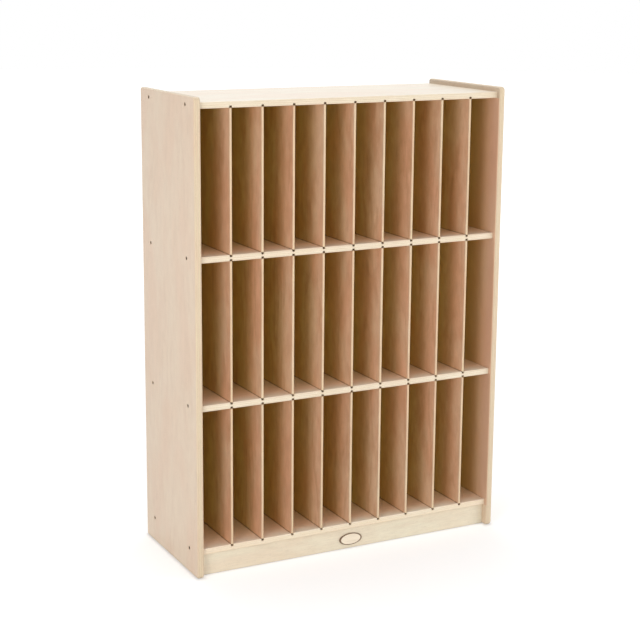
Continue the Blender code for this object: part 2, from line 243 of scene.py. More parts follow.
def quad_rows(rows, columns):
    """Indices of the quads between neighbouring rows of a grid whose rows close on themselves."""
    index = np.arange(rows * columns).reshape(rows, columns)
    after = np.roll(index, -1, axis=1)
    return np.stack((index[:-1], after[:-1], after[1:], index[1:]), axis=2).reshape(-1, 4)


def capped_form(points, order):
    """Points in the order of the axes, and faces with a flat cap on the first and last row."""
    rows, columns = points.shape[:2]
    first = np.arange(columns)[::-1].tolist()
    last = (np.arange(columns) + (rows - 1) * columns).tolist()
    return points.reshape(-1, 3)[:, order], quad_rows(rows, columns).tolist() + [first, last]


def carried_outline(outline, stations, order, low=-FAR, high=FAR):
    """Form of an outline carried along a straight line.

    Point (s, p) lies at stations[s] along the line. Its other two coordinates are those of
    outline point p, held between low[s] and high[s], so the outline steps in where a dado is.
    """
    outline = np.asarray(outline, float)
    apart = np.linalg.norm(outline - np.roll(outline, 1, axis=0), axis=1)
    outline = outline[apart > MERGE_DISTANCE]
    held = np.clip(np.tile(outline, (len(stations), 1, 1)), low, high)
    along = np.broadcast_to(np.reshape(stations, (-1, 1, 1)), held.shape[:2] + (1,))
    return capped_form(np.concatenate((along, held), axis=2), order)


def eased_slab(outline, outward, easing, near, far, steps, order):
    """Form of a slab whose edge is a quarter round on both faces.

    With e the easing at an outline point p and n its outward direction, the point at angle t of
    a round is p - e (1 - cos t) n across, at near + e (1 - sin t) or far - e (1 - sin t) through.
    """
    turn = np.linspace(QUARTER, 0.0, steps + 1)
    turn = np.concatenate((turn, turn[::-1]))
    easing = np.broadcast_to(np.asarray(easing, float), outline.shape[:1])
    inset = np.outer(1.0 - np.cos(turn), easing)
    sunk = np.outer(1.0 - np.sin(turn), easing)
    half = steps + 1
    through = np.concatenate((near + sunk[:half], far - sunk[half:]))
    across = outline[None] - inset[:, :, None] * outward[None]
    return capped_form(np.concatenate((through[:, :, None], across), axis=2), order)


def box_form(low, high):
    """Form of a box between two corners."""
    return carried_outline(rectangle(low[1:], high[1:]), (low[0], high[0]), ALONG_X)


# Meshes and pieces


def new_object(name, form):
    """Object at the origin from points and faces, without doubled points and empty faces."""
    points, faces = form
    mesh = bpy.data.meshes.new(name)
    mesh.from_pydata(points.tolist(), [], faces)
    bm = bmesh.new()
    bm.from_mesh(mesh)
    bmesh.ops.remove_doubles(bm, verts=bm.verts, dist=MERGE_DISTANCE)
    bmesh.ops.dissolve_degenerate(bm, dist=MERGE_DISTANCE / 10, edges=bm.edges)
    bm.to_mesh(mesh)
    bm.free()
    mesh.validate()
    obj = bpy.data.objects.new(name, mesh)
    bpy.context.scene.collection.objects.link(obj)
    return obj


def cut_out(obj, form):
    """Take a closed form out of an object's mesh."""
    tool = new_object("cutting_tool", form)
    modifier = obj.modifiers.new("cut", "BOOLEAN")
    modifier.operation = "DIFFERENCE"
    modifier.solver = "EXACT"
    modifier.object = tool
    graph = bpy.context.evaluated_depsgraph_get()
    result = bpy.data.meshes.new_from_object(obj.evaluated_get(graph))
    obj.modifiers.clear()
    uncut, tool_mesh = obj.data, tool.data
    result.name = obj.name
    obj.data = result
    bpy.data.objects.remove(tool)
    bpy.data.meshes.remove(uncut)
    bpy.data.meshes.remove(tool_mesh)


def make_piece(name, form, material, nodes=(), cuts=()):
    """Cut and smooth a piece, give it its finish, and let it stand for its frame nodes."""
    obj = new_object(name, form)
    for cut in cuts:
        cut_out(obj, cut)
    mesh = obj.data
    mesh.materials.clear()
    mesh.materials.append(material)
    mesh.shade_smooth()
    mesh.set_sharp_from_angle(angle=SHARP_TURN)
    even = obj.modifiers.new("flat_faces_stay_flat", "WEIGHTED_NORMAL")
    even.keep_sharp = True
    even.weight = 80
    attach(obj, BODY)
    if nodes:
        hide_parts(*nodes)


# Shader nodes


def feed(node, inputs):
    """Give a node its inputs, as values or as sockets to link, under their names or numbers."""
    for key, value in inputs.items():
        if isinstance(value, bpy.types.NodeSocket):
            node.id_data.links.new(value, node.inputs[key])
        else:
            node.inputs[key].default_value = value


def fed_node(kind, inputs, **settings):
    """Outputs of a new node, placed in the tree that the sockets among its inputs belong to."""
    tree = next(value.id_data for value in inputs.values() if isinstance(value, bpy.types.NodeSocket))
    node = tree.nodes.new(kind)
    for key, value in settings.items():
        setattr(node, key, value)
    feed(node, inputs)
    return node.outputs


def calc(operation, first, second=0.0, third=0.0):
    """Result of one math step."""
    return fed_node("ShaderNodeMath", {0: first, 1: second, 2: third}, operation=operation)[0]


def times(first, second, added=0.0):
    """Product of two values, with a third added."""
    return calc("MULTIPLY_ADD", first, second, added)


def minus(first, second):
    """Difference of two values."""
    return calc("SUBTRACT", first, second)


def parts_of(vector):
    """X, Y and Z of a vector."""
    return fed_node("ShaderNodeSeparateXYZ", {0: vector})


def diagonal(across, up):
    """Length of a diagonal, from the two lengths that it spans."""
    return calc("SQRT", times(across, across, times(up, up)))


def noise(vector, scale, detail=2.0, roughness=0.5):
    """Noise from 0 to 1 of a vector stretched by one number or by one for each part."""
    inputs = {0: vector, 1: np.ones(3) * scale}
    stretched = fed_node("ShaderNodeVectorMath", inputs, operation="MULTIPLY")[0]
    inputs = {"Vector": stretched, "Scale": 1.0, "Detail": detail, "Roughness": roughness}
    return fed_node("ShaderNodeTexNoise", inputs)[0]


def ramp(value, low, high, low_to=0.0, high_to=1.0):
    """Value eased from one range to another."""
    inputs = {"Value": value, "From Min": low, "From Max": high, "To Min": low_to, "To Max": high_to}
    return fed_node("ShaderNodeMapRange", inputs, interpolation_type="SMOOTHSTEP")[0]


def blend(factor, first, second, mode="MIX"):
    """Mix of two colours."""
    inputs = {0: factor, 6: first, 7: second}
    return fed_node("ShaderNodeMix", inputs, data_type="RGBA", blend_type=mode)[2]


def new_group(name, colours, numbers, colours_out, numbers_out):
    """Empty node group with a vector and other named sockets, its entries and its last node."""
    group = bpy.data.node_groups.new(name, "ShaderNodeTree")
    for way, kind, labels in (("INPUT", "Vector", ("Vector",)), ("INPUT", "Color", colours),
                              ("INPUT", "Float", numbers), ("OUTPUT", "Color", colours_out),
                              ("OUTPUT", "Float", numbers_out)):
        for label in labels:
            group.interface.new_socket(label, in_out=way, socket_type="NodeSocket" + kind)
    return group, group.nodes.new("NodeGroupInput").outputs, group.nodes.new("NodeGroupOutput")


def use_group(build, inputs):
    """Outputs of a node group in a material. It is built the first time it is asked for."""
    group = bpy.data.node_groups.get(build.__name__) or build()
    return fed_node("ShaderNodeGroup", inputs, node_tree=group)


def birch_face():
    """Face veneer: rosy zones, soft mottle, wild growth lines, short streaks, fibres and pores.

    The vector runs along the grain in X, across it in Y and through the veneer in Z.
    """
    group, enter, last = new_group("birch_face", ("Pale", "Tan", "Blush"),
                                   ("Figure", "Fibre", "Flecks"), ("Color",), ("Height",))
    place = enter["Vector"]
    zones = ramp(noise(place, (4.0, 11.0, 30.0), 3.0), 0.36, 0.64)
    base = blend(zones, enter["Pale"], enter["Blush"])
    wobble = noise(place, (14.0, 40.0, 40.0), 3.0)
    field = times(wobble, 0.16, noise(place, (1.3, 8.0, 34.0), 1.0, 0.4))
    lines = calc("SINE", times(field, 2.0 * math.pi * 10.0))
    lines = calc("POWER", times(lines, 0.5, 0.5), 2.5)
    showing = ramp(noise(place, (5.0, 16.0, 20.0), 1.0), 0.42, 0.62)
    mottle = ramp(noise(place, (24.0, 46.0, 46.0), 4.0, 0.6), 0.30, 0.72)
    figure = times(mottle, 0.6, times(times(lines, showing), 0.55))
    base = blend(times(figure, enter["Figure"]), base, enter["Tan"])
    streaks = noise(place, (26.0, 330.0, 200.0), 3.0, 0.6)
    fibres = noise(place, (60.0, 1500.0, 900.0), 2.0, 0.6)
    mixed = times(streaks, 1.3, times(fibres, 0.7))
    shade = times(minus(mixed, 1.0), enter["Fibre"], 1.0)
    pores = ramp(noise(place, (120.0, 1900.0, 1100.0), 1.0), 0.66, 0.76)
    piths = ramp(noise(place, (48.0, 420.0, 300.0)), 0.76, 0.82)
    marks = calc("MAXIMUM", pores, times(piths, 1.6))
    shade = minus(shade, times(marks, enter["Flecks"]))
    feed(last, {"Color": blend(1.0, base, shade, "MULTIPLY"), "Height": times(pores, -0.8, mixed)})
    return group


def ply_edge():
    """Plies of a sanded edge, from the depth through the board as a share of its thickness.

    Every second ply shows end grain, which is greyer and speckled, and a fine glue line parts
    each ply from the next. Both faces of the board are plies with the face's own grain.
    """
    group, enter, last = new_group("ply_edge", ("Face", "Long Grain", "End Grain", "Glue"),
                                   ("Depth", "Plies"), ("Color",), ("Height",))
    level = times(enter["Depth"], enter["Plies"])
    inner = ramp(calc("PINGPONG", level, times(enter["Plies"], 0.5)), 0.25, 0.45)
    odd = calc("MODULO", calc("FLOOR", level), 2.0)
    speckle = noise(enter["Vector"], 1400.0)
    lines = noise(enter["Vector"], (14.0, 900.0, 1800.0))
    grain = blend(ramp(lines, 0.35, 0.65), enter["Long Grain"], enter["Face"])
    ends = blend(ramp(speckle, 0.40, 0.66), grain, enter["End Grain"])
    plies = blend(times(odd, 0.6), grain, ends)
    near = calc("ABSOLUTE", minus(level, calc("ROUND", level)))
    line = ramp(near, 0.02, 0.09, 1.0, 0.0)
    plies = blend(times(line, 0.35), plies, enter["Glue"])
    feed(last, {"Color": blend(inner, enter["Face"], plies),
                "Height": times(times(line, -0.5, speckle), inner)})
    return group


def slot_painted_shade():
    """Where painted shade goes: wood inside the slots, out of the daylight, and how far in it lies.

    The mask is 1 between the sides, under the top, and from the front, where it fades in, to the
    back panel's inner face. The depth rises from 0 at the front to 1 at the end of its reach. The
    rim is the part above them. Distances from faces are in metres.
    """
    group, enter, last = new_group("slot_painted_shade", (), ("Front", "Fade", "Reach"), (),
                                   ("Mask", "Depth", "Rim"))
    parts = parts_of(enter["Vector"])
    beside = minus(SIDE_INNER, calc("ABSOLUTE", parts["X"]))
    behind = minus(parts["Y"], enter["Front"])
    under = minus(TOP_LOW, parts["Z"])
    between = times(ramp(beside, -0.002, -0.0008), ramp(behind, 0.002, enter["Fade"]))
    ends = times(ramp(minus(parts["Z"], BOTTOM_LOW), -0.001, 0.001), ramp(under, -0.001, 0.001))
    within = ramp(minus(BACK_BOX[0, 1], parts["Y"]), -0.003, -0.001)
    mask = times(between, times(ends, within))
    depth = ramp(calc("DIVIDE", behind, enter["Reach"]), 0.1, 1.0)
    feed(last, {"Mask": mask, "Depth": times(mask, depth),
                "Rim": times(between, ramp(under, -0.001, 0.001, 1.0, 0.0))})
    return group


def scorched_joint():
    """Painted shade on the dado walls, and a painted shade line where a divider meets a board.

    A dado wall lies within a board's thickness, behind its eased front, and is painted darker under
    the board, where more shade falls, than on top of it. The line lies on both pieces, close to the
    corner that they form, and not on top of the cabinet. Distances from faces and joints are in metres.
    """
    group, enter, last = new_group("scorched_joint", (), ("Line Strength",), (), ("Wall", "Line"))
    parts = parts_of(enter["Vector"])
    level = calc("FLOORED_MODULO", minus(parts["Z"], BOTTOM_LOW), BOARD_PITCH)
    under = minus(BOARD_THICKNESS, level)
    behind = minus(parts["Y"], BOARD_FRONT)
    wall = times(ramp(level, 0.0003, 0.0007), ramp(under, 0.0003, 0.0007))
    wall = times(wall, ramp(noise(enter["Vector"], 260.0), 0.2, 0.5, 0.75, 1.0))
    wall = times(wall, ramp(level, 0.007, 0.009, 1.0, 0.55))
    half = DIVIDER_PITCH / 2
    across = minus(parts["X"], (DIVIDER_LEFT + DIVIDER_RIGHT) / 2 - half)
    across = minus(calc("FLOORED_MODULO", across, DIVIDER_PITCH), half)
    aside = minus(calc("ABSOLUTE", across), DIVIDER_THICKNESS / 2)
    over = ramp(under, -0.0022, -0.0004)
    beneath = ramp(minus(BOARD_PITCH, level), 0.0004, 0.0022, 1.0, 0.0)
    line = times(ramp(aside, 0.0008, 0.0030, 1.0, 0.0), calc("MAXIMUM", over, beneath))
    line = times(line, ramp(behind, 0.003, 0.012))
    line = times(line, ramp(minus(TOP_LOW + BOARD_THICKNESS / 2, parts["Z"]), 0.0, 0.001))
    feed(last, {"Wall": times(wall, ramp(behind, 0.0014, 0.003)),
                "Line": times(line, enter["Line Strength"])})
    return group


def satin_lacquer():
    """Clear satin lacquer: roughness that wanders a little, and a very low orange peel."""
    group, enter, last = new_group("satin_lacquer", (), ("Roughness", "Grain Height"), (),
                                   ("Roughness", "Height"))
    clouds = noise(enter["Vector"], 14.0, 3.0)
    peel = noise(enter["Vector"], 420.0, 1.0)
    feed(last, {"Roughness": calc("ADD", enter["Roughness"], times(clouds, 0.14, -0.07)),
                "Height": times(peel, 0.5, enter["Grain Height"])})
    return group


# Materials

# How far the three shades of a veneer lie from its wood's colour, in red, green and blue
PALE_APART = (0.02, 0.03, 0.02)
TAN_APART = (-0.13, -0.21, -0.26)
BLUSH_APART = (0.01, -0.05, -0.08)
END_GRAIN_TINT = (0.72, 0.66, 0.58)
GLUE_TINT = (0.42, 0.33, 0.25)


def opaque(rgb):
    """Colour as the four values of a colour socket."""
    return (*rgb, 1.0)


def shades(rgb, *factors):
    """One colour darkened or tinted by each factor."""
    return [opaque(np.clip(np.multiply(rgb, factor), 0.0, 1.0)) for factor in factors]


def new_material(name):
    """Material with its shader and the object coordinates."""
    material = bpy.data.materials.new(name)
    material.use_nodes = True
    nodes = material.node_tree.nodes
    return material, nodes["Principled BSDF"], nodes.new("ShaderNodeTexCoord").outputs["Object"]


def shared_material(name, build, *details, **more):
    """Material of a name, built the first time it is asked for."""
    return bpy.data.materials.get(name) or build(name, *details, **more)


def veneer(place, axes, shade_list, figure=1.0, fibre=1.0):
    """Coordinates along, across and through the grain, which lie on the three axes named in
    turn, and the outputs of the face veneer drawn in them.
    """
    finish = bpy.context.scene.cabinet_finish
    rows = [[float(axis == name) for axis in "XYZ"] for name in axes]
    if np.linalg.det(rows) < 0:
        rows[2] = [-part for part in rows[2]]
    turn = Matrix(rows).to_euler()
    grain = fed_node("ShaderNodeMapping", {"Vector": place, "Rotation": turn})[0]
    pale, tan, blush = shade_list
    return grain, use_group(birch_face, {
        "Vector": grain, "Pale": pale, "Tan": tan, "Blush": blush, "Flecks": finish.flecks,
        "Figure": finish.figure * figure, "Fibre": finish.fibre * fibre})


def raised(height, strength, distance):
    """Normal of a surface with a relief."""
    inputs = {"Strength": strength, "Distance": distance, "Height": height}
    return fed_node("ShaderNodeBump", inputs)[0]


def lacquer(shader, place, wood, height):
    """Give a shader the colour of its wood, the relief of its grain, and clear lacquer."""
    finish = bpy.context.scene.cabinet_finish
    satin = use_group(satin_lacquer, {
        "Vector": place, "Roughness": finish.gloss, "Grain Height": height})
    feed(shader, {"Base Color": wood, "Roughness": satin["Roughness"],
                  "Normal": raised(satin["Height"], finish.bump, 0.0003)})


def wood_material(name, wood, axes, depth, plies=7.0, figure=1.0, fibre=1.0, variety=1.0, edge=1.0,
                  tone="board_tone", tone_front=BOARD_FRONT, fade=0.006, deep=1.0, scorch=False):
    """Lacquered birch plywood, coloured by the setting that is named.

    The depth names the axis through the board, where its face lies, its thickness, and the pitch
    at which like boards repeat, or nothing for a pair that is mirrored about the middle. The
    variety says how far its shades lie apart. The painted shade tints the wood inside the slots
    and deepens towards the back, in place of the shade and bounce light that fall there.
    """
    finish = bpy.context.scene.cabinet_finish
    material, shader, place = new_material(name)
    apart = 1.0 + variety * np.array([PALE_APART, TAN_APART, BLUSH_APART])
    grain, face = veneer(place, axes, shades(getattr(finish, wood), *apart), figure, fibre)
    axis, start, thickness, pitch = depth
    along = parts_of(place)[axis]
    if pitch:
        margin = pitch / 8
        through = minus(calc("FLOORED_MODULO", minus(along, start - margin), pitch), margin)
    else:
        through = minus(calc("ABSOLUTE", along), start)
    edge_wood = np.multiply(finish.edge_wood, edge)
    long_grain, end_grain, glue = shades(edge_wood, 1.0, END_GRAIN_TINT, GLUE_TINT)
    ply = use_group(ply_edge, {
        "Vector": grain, "Depth": calc("DIVIDE", through, thickness), "Plies": plies,
        "Face": face["Color"], "Long Grain": long_grain, "End Grain": end_grain, "Glue": glue})
    inside = use_group(slot_painted_shade, {
        "Vector": place, "Front": tone_front, "Fade": fade, "Reach": finish.deep_reach})
    # Painted shade inside the slots, deeper towards the back, and on the sides' faces above the top
    toned = blend(inside["Mask"], ply["Color"], opaque(getattr(finish, tone)), "MULTIPLY")
    toned = blend(times(inside["Depth"], deep), toned, opaque(finish.deep_tone), "MULTIPLY")
    if tone == "side_tone":
        toned = blend(inside["Rim"], toned, opaque(finish.rim_tone), "MULTIPLY")
    # Painted shade on the dado walls and in the corners between dividers and boards
    if scorch:
        joint = use_group(scorched_joint, {"Vector": place, "Line Strength": finish.joint_line})
        for mark in ("Line", "Wall"):
            toned = blend(joint[mark], toned, opaque(finish.scorched))
    lacquer(shader, place, toned, times(ply["Height"], 0.8, face["Height"]))
    feed(shader, {"Coat Weight": finish.coat, "Coat Roughness": finish.coat_gloss})
    return material


def metal_material(name):
    """Bronzed steel: a dark skin with paler rubbed patches and fine turning marks."""
    material, shader, place = new_material(name)
    skin, rubbed = shades(bpy.context.scene.cabinet_finish.screw_metal, 1.0, (2.6, 2.5, 2.4))
    patches = ramp(noise(place, 900.0, 3.0), 0.45, 0.72)
    marks = noise(place, (5200.0, 800.0, 800.0))
    feed(shader, {"Base Color": blend(times(patches, 0.5), skin, rubbed), "Metallic": 0.9,
                  "Roughness": times(marks, 0.25, 0.28), "Normal": raised(marks, 0.2, 0.0001)})
    return material


def plaque_middle():
    """Height and X of the plaque's middle on the toe kick."""
    return np.array([KICK_BOX[:, 2].mean() - PLAQUE_DROP, PLAQUE_ASIDE])


def plaque_material(name):
    """Pale birch with a burnt border and a laser cut edge, darker where the beam came out."""
    finish = bpy.context.scene.cabinet_finish
    sizes = bpy.context.scene.cabinet_sizes
    material, shader, place = new_material(name)
    tints = shades(finish.board_wood, 1.03, (0.8, 0.72, 0.62), (0.97, 0.93, 0.89))
    face = veneer(place, "XZY", tints)[1]
    parts = parts_of(place)
    soot = noise(place, 300.0)
    behind = minus(parts["Y"], KICK_BOX[0, 1] - sizes.plaque_thickness)
    edge = ramp(times(soot, 0.0003, behind), 0.00025, 0.0008)
    height, middle = plaque_middle()
    across = calc("DIVIDE", minus(parts["X"], middle), sizes.plaque_width / 2)
    up = calc("DIVIDE", minus(parts["Z"], height), sizes.plaque_height / 2)
    border = times(ramp(times(soot, 0.03, diagonal(across, up)), 0.86, 0.91), 0.9)
    burnt = blend(calc("MAXIMUM", edge, border), face["Color"], opaque(finish.burnt_edge))
    lacquer(shader, place, burnt, face["Height"])
    return material


# Screws. A profile's rows hold a radius, a depth, the socket's share and the thread's ridge.

HEAD = (SCREW_BOX[1, 2] - SCREW_BOX[0, 2]) / 2
SCREW_END = SIDE_OUTER - SCREW_BOX[0, 0]
SHANK = 0.0025
CORE = 0.0020
HEAD_EDGE = 0.0006
SOCKET_DEPTH = 0.0026
ACROSS_FLATS = 0.004
THREAD_PITCH = 0.003
THREAD_RIDGE = 0.0005
THREAD_ROWS = 58
CROSS_REACH = 0.0019
CROSS_WIDTH = 0.0009
BACK_SCREW_STEPS = 24
EDGE_SCREWS = 7
EDGE_MARGIN = 0.09
SHELF_SCREWS = 5
SHELF_REACH = 0.36
TOP_RISE = 0.003  # of the back screws in the top panel, over its lower face


def turned(rows, drive, places, sign, face, steps):
    """Form of turned pieces along X, one for each place, in one mesh.

    The radius at row i and angle a is R_i + m_i (h(a) - R_i) + thread, where m_i is the share of
    the drive socket's outline h, and the thread is a ridge that climbs one pitch in each turn.
    What a row leaves out is nothing, and the depth counts from the face.
    """
    full_rows = np.array([(*row, 0.0, 0.0)[:4] for row in rows])
    radii, depths, drive_share, ridge = full_rows.T[:, :, None]
    angle = np.arange(steps) * (2.0 * math.pi / steps)
    phase = (depths / THREAD_PITCH - angle / (2.0 * math.pi)) % 1.0
    thread = ridge * np.maximum(0.0, 1.0 - np.abs(phase - 0.5) * 4.0)
    radius = radii + drive_share * (drive(angle) - radii) + thread
    through = np.broadcast_to(sign * (face - depths), radius.shape)
    one = np.stack((through, sign * radius * np.cos(angle), radius * np.sin(angle)), axis=2)
    one = one.reshape(-1, 3)
    points = (one + np.asarray(places, float)[:, None]).reshape(-1, 3)
    first = np.arange(len(places)) * len(one)
    faces = quad_rows(len(full_rows), steps)[:, ::-1] + first[:, None, None]
    return points, faces.reshape(-1, 4).tolist()


def hexagon(angle):
    """Outline of a connector's socket: half its width over the cosine off the nearest flat."""
    sixth = math.pi / 3
    return ACROSS_FLATS / 2 / np.cos((angle + sixth / 2) % sixth - sixth / 2)


def cross(angle):
    """Outline of a cross recess: half a slot's width over the sine off the slot, up to its reach."""
    off = np.minimum(np.abs(np.cos(angle)), np.abs(np.sin(angle)))
    return np.minimum(CROSS_REACH, CROSS_WIDTH / 2 / np.maximum(off, CROSS_WIDTH / CROSS_REACH / 2))


def connector_profile(sizes):
    """Connector screw, from its socket's bottom out over the head, down the shank and the thread."""
    face = sizes.screw_recess
    neck = face + HEAD_EDGE + HEAD - SHANK
    threaded = np.linspace(neck + 0.0155, SCREW_END - 0.006, THREAD_ROWS)
    return [(0.0, face + SOCKET_DEPTH + 0.0006), (0.0, face + SOCKET_DEPTH, 1),
            (0.0, face + 0.0003, 1), (0.0026, face, 0.35), (HEAD - 0.0007, face),
            (HEAD - 0.0002, face + 0.00015), (HEAD, face + 0.0005), (HEAD, face + 0.0008),
            (SHANK, neck), (SHANK, neck + 0.014), (CORE, neck + 0.015),
            *[(CORE, depth, 0, THREAD_RIDGE) for depth in threaded],
            (CORE, SCREW_END - 0.005), (CORE * 0.45, SCREW_END - 0.001), (0.0, SCREW_END)]


def hole_forms(names, sign, sizes):
    """Form of the holes of some connector screws, with a small chamfer at the mouth."""
    head, shank, core, end = np.array([HEAD, SHANK, CORE, SCREW_END]) + sizes.gap
    ledge = sizes.screw_recess + HEAD_EDGE
    neck = ledge + HEAD - SHANK
    rows = [(0.0, -OVERCUT), (head + 0.0004 + OVERCUT, -OVERCUT), (head, 0.0004), (head, ledge),
            (shank, neck), (shank, neck + 0.016), (core, neck + 0.017), (core, end), (0.0, end)]
    places = [screw_place(name) for name in names]
    return turned(rows, hexagon, places, sign, SIDE_OUTER, sizes.turned_steps)


def screw_names(side_name, node=""):
    """Names of the frame's connector screws on one side, or of those into one board."""
    return sorted(name for name in frame["nodes"] if name.startswith(f"screw_{side_name}_{node}"))


def screw_place(name):
    """Where a connector screw's axis meets the middle plane of the cabinet."""
    return node_box(name).mean(axis=0) * (0.0, 1.0, 1.0)


def back_screw_forms(rows):
    """Form of one turned profile at each back screw, round the panel and along each shelf."""
    edge = (SIDE_INNER + BACK_BOX[1, 0]) / 2
    heights = np.linspace(BACK_BOX[0, 2] + EDGE_MARGIN, BACK_BOX[1, 2] - EDGE_MARGIN, EDGE_SCREWS)
    levels = [*BOARD_BOXES[:-1, :, 2].mean(axis=1), TOP_LOW + TOP_RISE]
    spots = [(0.0, -sign * edge, z) for _, sign in SIDES for z in heights]
    across = np.linspace(-SHELF_REACH, SHELF_REACH, SHELF_SCREWS)
    spots += [(0.0, -x, z) for z in levels for x in across]
    points, faces = turned(rows, cross, spots, 1, REAR, BACK_SCREW_STEPS)
    return points[:, (1, 0, 2)] * (-1.0, 1.0, 1.0), faces


# Operators


class CUBBY_OT_side_panels(bpy.types.Operator):
    """Two side panels with rounded front corners, eased edges, rear rabbets and screw holes"""

    bl_idname = "cubby.side_panels"
    bl_label = "Side panels"

    def execute(self, context):
        """Ease a rounded outline on both faces, then cut the rabbet and the holes."""
        sizes = context.scene.cabinet_sizes
        steps = sizes.round_steps
        radii = [sizes.side_round, sizes.side_rear_round, sizes.side_rear_round, sizes.side_round]
        outline, outward = rounded_outline(rectangle((FRONT, 0.0), (REAR, TALL)), radii, steps)
        full = np.full(steps + 1, sizes.side_easing)
        less = np.linspace(sizes.side_easing, sizes.side_rear_easing, steps + 1)
        easing = np.concatenate((full, less, less[::-1], full))
        material = shared_material(
            "side_birch", wood_material, "side_wood", "ZYX",
            ("X", SIDE_INNER, SIDE_OUTER - SIDE_INNER, None), figure=1.3, fibre=0.6,
            edge=(0.94, 0.94, 0.91), tone="side_tone", tone_front=FRONT - 0.004)
        for side_name, sign in SIDES:
            near, far = sorted((sign * SIDE_INNER, sign * SIDE_OUTER))
            form = eased_slab(outline, outward, easing, near, far, steps, ALONG_X)
            near, far = sorted((sign * (SIDE_INNER - OVERCUT), sign * (SIDE_INNER + sizes.side_rabbet)))
            rabbet = box_form((near, BACK_BOX[0, 1] - sizes.gap, -OVERCUT),
                              (far, REAR + OVERCUT, TOP_LOW + sizes.top_rabbet))
            make_piece(side_name + "_side", form, material,
                       ["side_panel_" + side_name],
                       [rabbet, hole_forms(screw_names(side_name), sign, sizes)])
        return {"FINISHED"}


def dado_stations(depth, gap, arris):
    """Where a board's outline changes along X, and how far it steps in there for each dado."""
    offsets = np.array([-arris, 0.0, 0.0])
    steps_in = np.array([0.0, arris, depth])
    edges = DIVIDER_BOXES[0, :, :, 0] + (-gap, gap)
    stations = np.concatenate((edges[:, :1] + offsets, edges[:, 1:] - offsets[::-1]), axis=1)
    cuts = np.tile(np.concatenate((steps_in, steps_in[::-1])), len(edges))
    ends = BOARD_BOXES[0, :, 0]
    return np.concatenate((ends[:1], stations.ravel(), ends[1:])), np.pad(cuts, 1)


class CUBBY_OT_boards(bpy.types.Operator):
    """Top, shelves and bottom shelf, with eased front edges and a through dado for each divider"""

    bl_idname = "cubby.boards"
    bl_label = "Top and shelves"

    def execute(self, context):
        """Carry each board's outline across the cabinet, stepping in at the dadoes."""
        sizes = context.scene.cabinet_sizes
        arris = sizes.arris
        depth = BOARD_BOXES[0, 1, 2] - DIVIDER_BOXES[0, 0, 0, 2] + sizes.gap
        stations, cuts = dado_stations(depth, sizes.dado_gap, arris)
        names = ("bottom_board", "lower_board", "upper_board", "top_board")
        for level, (name, node, (low, high)) in enumerate(zip(names, BOARD_NODES, BOARD_BOXES)):
            corners = rectangle(low[1:], high[1:])
            radii = [sizes.board_easing, arris, arris, sizes.board_easing]
            if level == ROWS:
                ledge = BACK_BOX[0, 1] - sizes.gap
                ceiling = TOP_LOW + sizes.top_rabbet
                corners[1:2] = [(ledge, TOP_LOW), (ledge, ceiling), (high[1], ceiling)]
                radii[1:2] = [arris, 0.0, arris]
            lowest = np.stack((cuts * 0.0 - FAR, low[2] + cuts * (level > 0)), axis=1)
            highest = np.stack((cuts * 0.0 + FAR, high[2] - cuts * (level < ROWS)), axis=1)
            form = carried_outline(rounded_outline(corners, radii, sizes.round_steps)[0],
                                   stations, ALONG_X, lowest[:, None], highest[:, None])
            # Painted light: the bottom board's edges are made paler to make up for the weaker light low
            # on the front
            material_name, edge = ("board_birch", 1.0) if level else ("bottom_board_birch", 1.14)
            material = shared_material(
                material_name, wood_material, "board_wood", "XYZ",
                ("Z", BOTTOM_LOW, BOARD_THICKNESS, BOARD_PITCH), edge=edge, fade=0.05, deep=0.25,
                scorch=True)
            make_piece(name, form, material, [node],
                       [hole_forms(screw_names(side, node), sign, sizes) for side, sign in SIDES])
        return {"FINISHED"}


class CUBBY_OT_dividers(bpy.types.Operator):
    """Thin dividers with rounded front edges and a step at each front corner"""

    bl_idname = "cubby.dividers"
    bl_label = "Dividers"

    def execute(self, context):
        """Carry the divider's outline upright, held back from the front at both ends."""
        sizes = context.scene.cabinet_sizes
        material = shared_material(
            "divider_birch", wood_material, "divider_wood", "ZYX",
            ("X", DIVIDER_LEFT, DIVIDER_THICKNESS, DIVIDER_PITCH), 3.0, figure=1.8,
            variety=2.4, edge=(1.04, 1.00, 0.87), tone="divider_tone", scorch=True)
        radii = [sizes.divider_easing] * 2 + [sizes.arris] * 2
        back = np.array([1.0, 1.0, 0.0, 0.0, 1.0, 1.0]) * sizes.divider_step
        for row, place in np.ndindex(ROWS, DIVIDERS_PER_ROW):
            low, high = DIVIDER_BOXES[row, place]
            foot = BOARD_BOXES[row, 1, 2] + sizes.gap
            head = BOARD_BOXES[row + 1, 0, 2] - sizes.gap
            outline = rounded_outline(rectangle(low[:2], high[:2]), radii, sizes.round_steps)[0]
            held = np.stack((back * 0.0 - FAR, low[1] + back), axis=1)
            form = carried_outline(outline, (low[2], foot, foot, head, head, high[2]), ALONG_Z,
                                   held[:, None])
            make_piece(f"divider_{row + 1}_{place + 1}", form, material,
                       [f"divider_row{row + 1}_{place + 1}"])
        return {"FINISHED"}


class CUBBY_OT_back_panel(bpy.types.Operator):
    """Thin back panel with countersunk holes for its screws"""

    bl_idname = "cubby.back_panel"
    bl_label = "Back panel"

    def execute(self, context):
        """Ease a flat slab and sink the screw holes into it."""
        low, high = BACK_BOX
        thickness = high[1] - low[1]
        corners = rectangle(low[[2, 0]], high[[2, 0]])
        outline, outward = rounded_outline(corners, [BACK_ROUND] * 4, BACK_STEPS)
        form = eased_slab(outline, outward, context.scene.cabinet_sizes.arris, low[1], high[1],
                          BACK_STEPS, ALONG_Y)
        rows = [(0.0, -OVERCUT), (0.0054, -OVERCUT), (0.0034, 0.0), (0.0019, 0.0018),
                (0.0019, thickness + OVERCUT), (0.0, thickness + OVERCUT)]
        material = shared_material("back_birch", wood_material, "back_wood", "ZXY",
                                   ("Y", low[1], thickness, 1.0), 3.0, 1.4)
        make_piece("back_board", form, material, ["back_panel"],
                   [back_screw_forms(rows)])
        return {"FINISHED"}


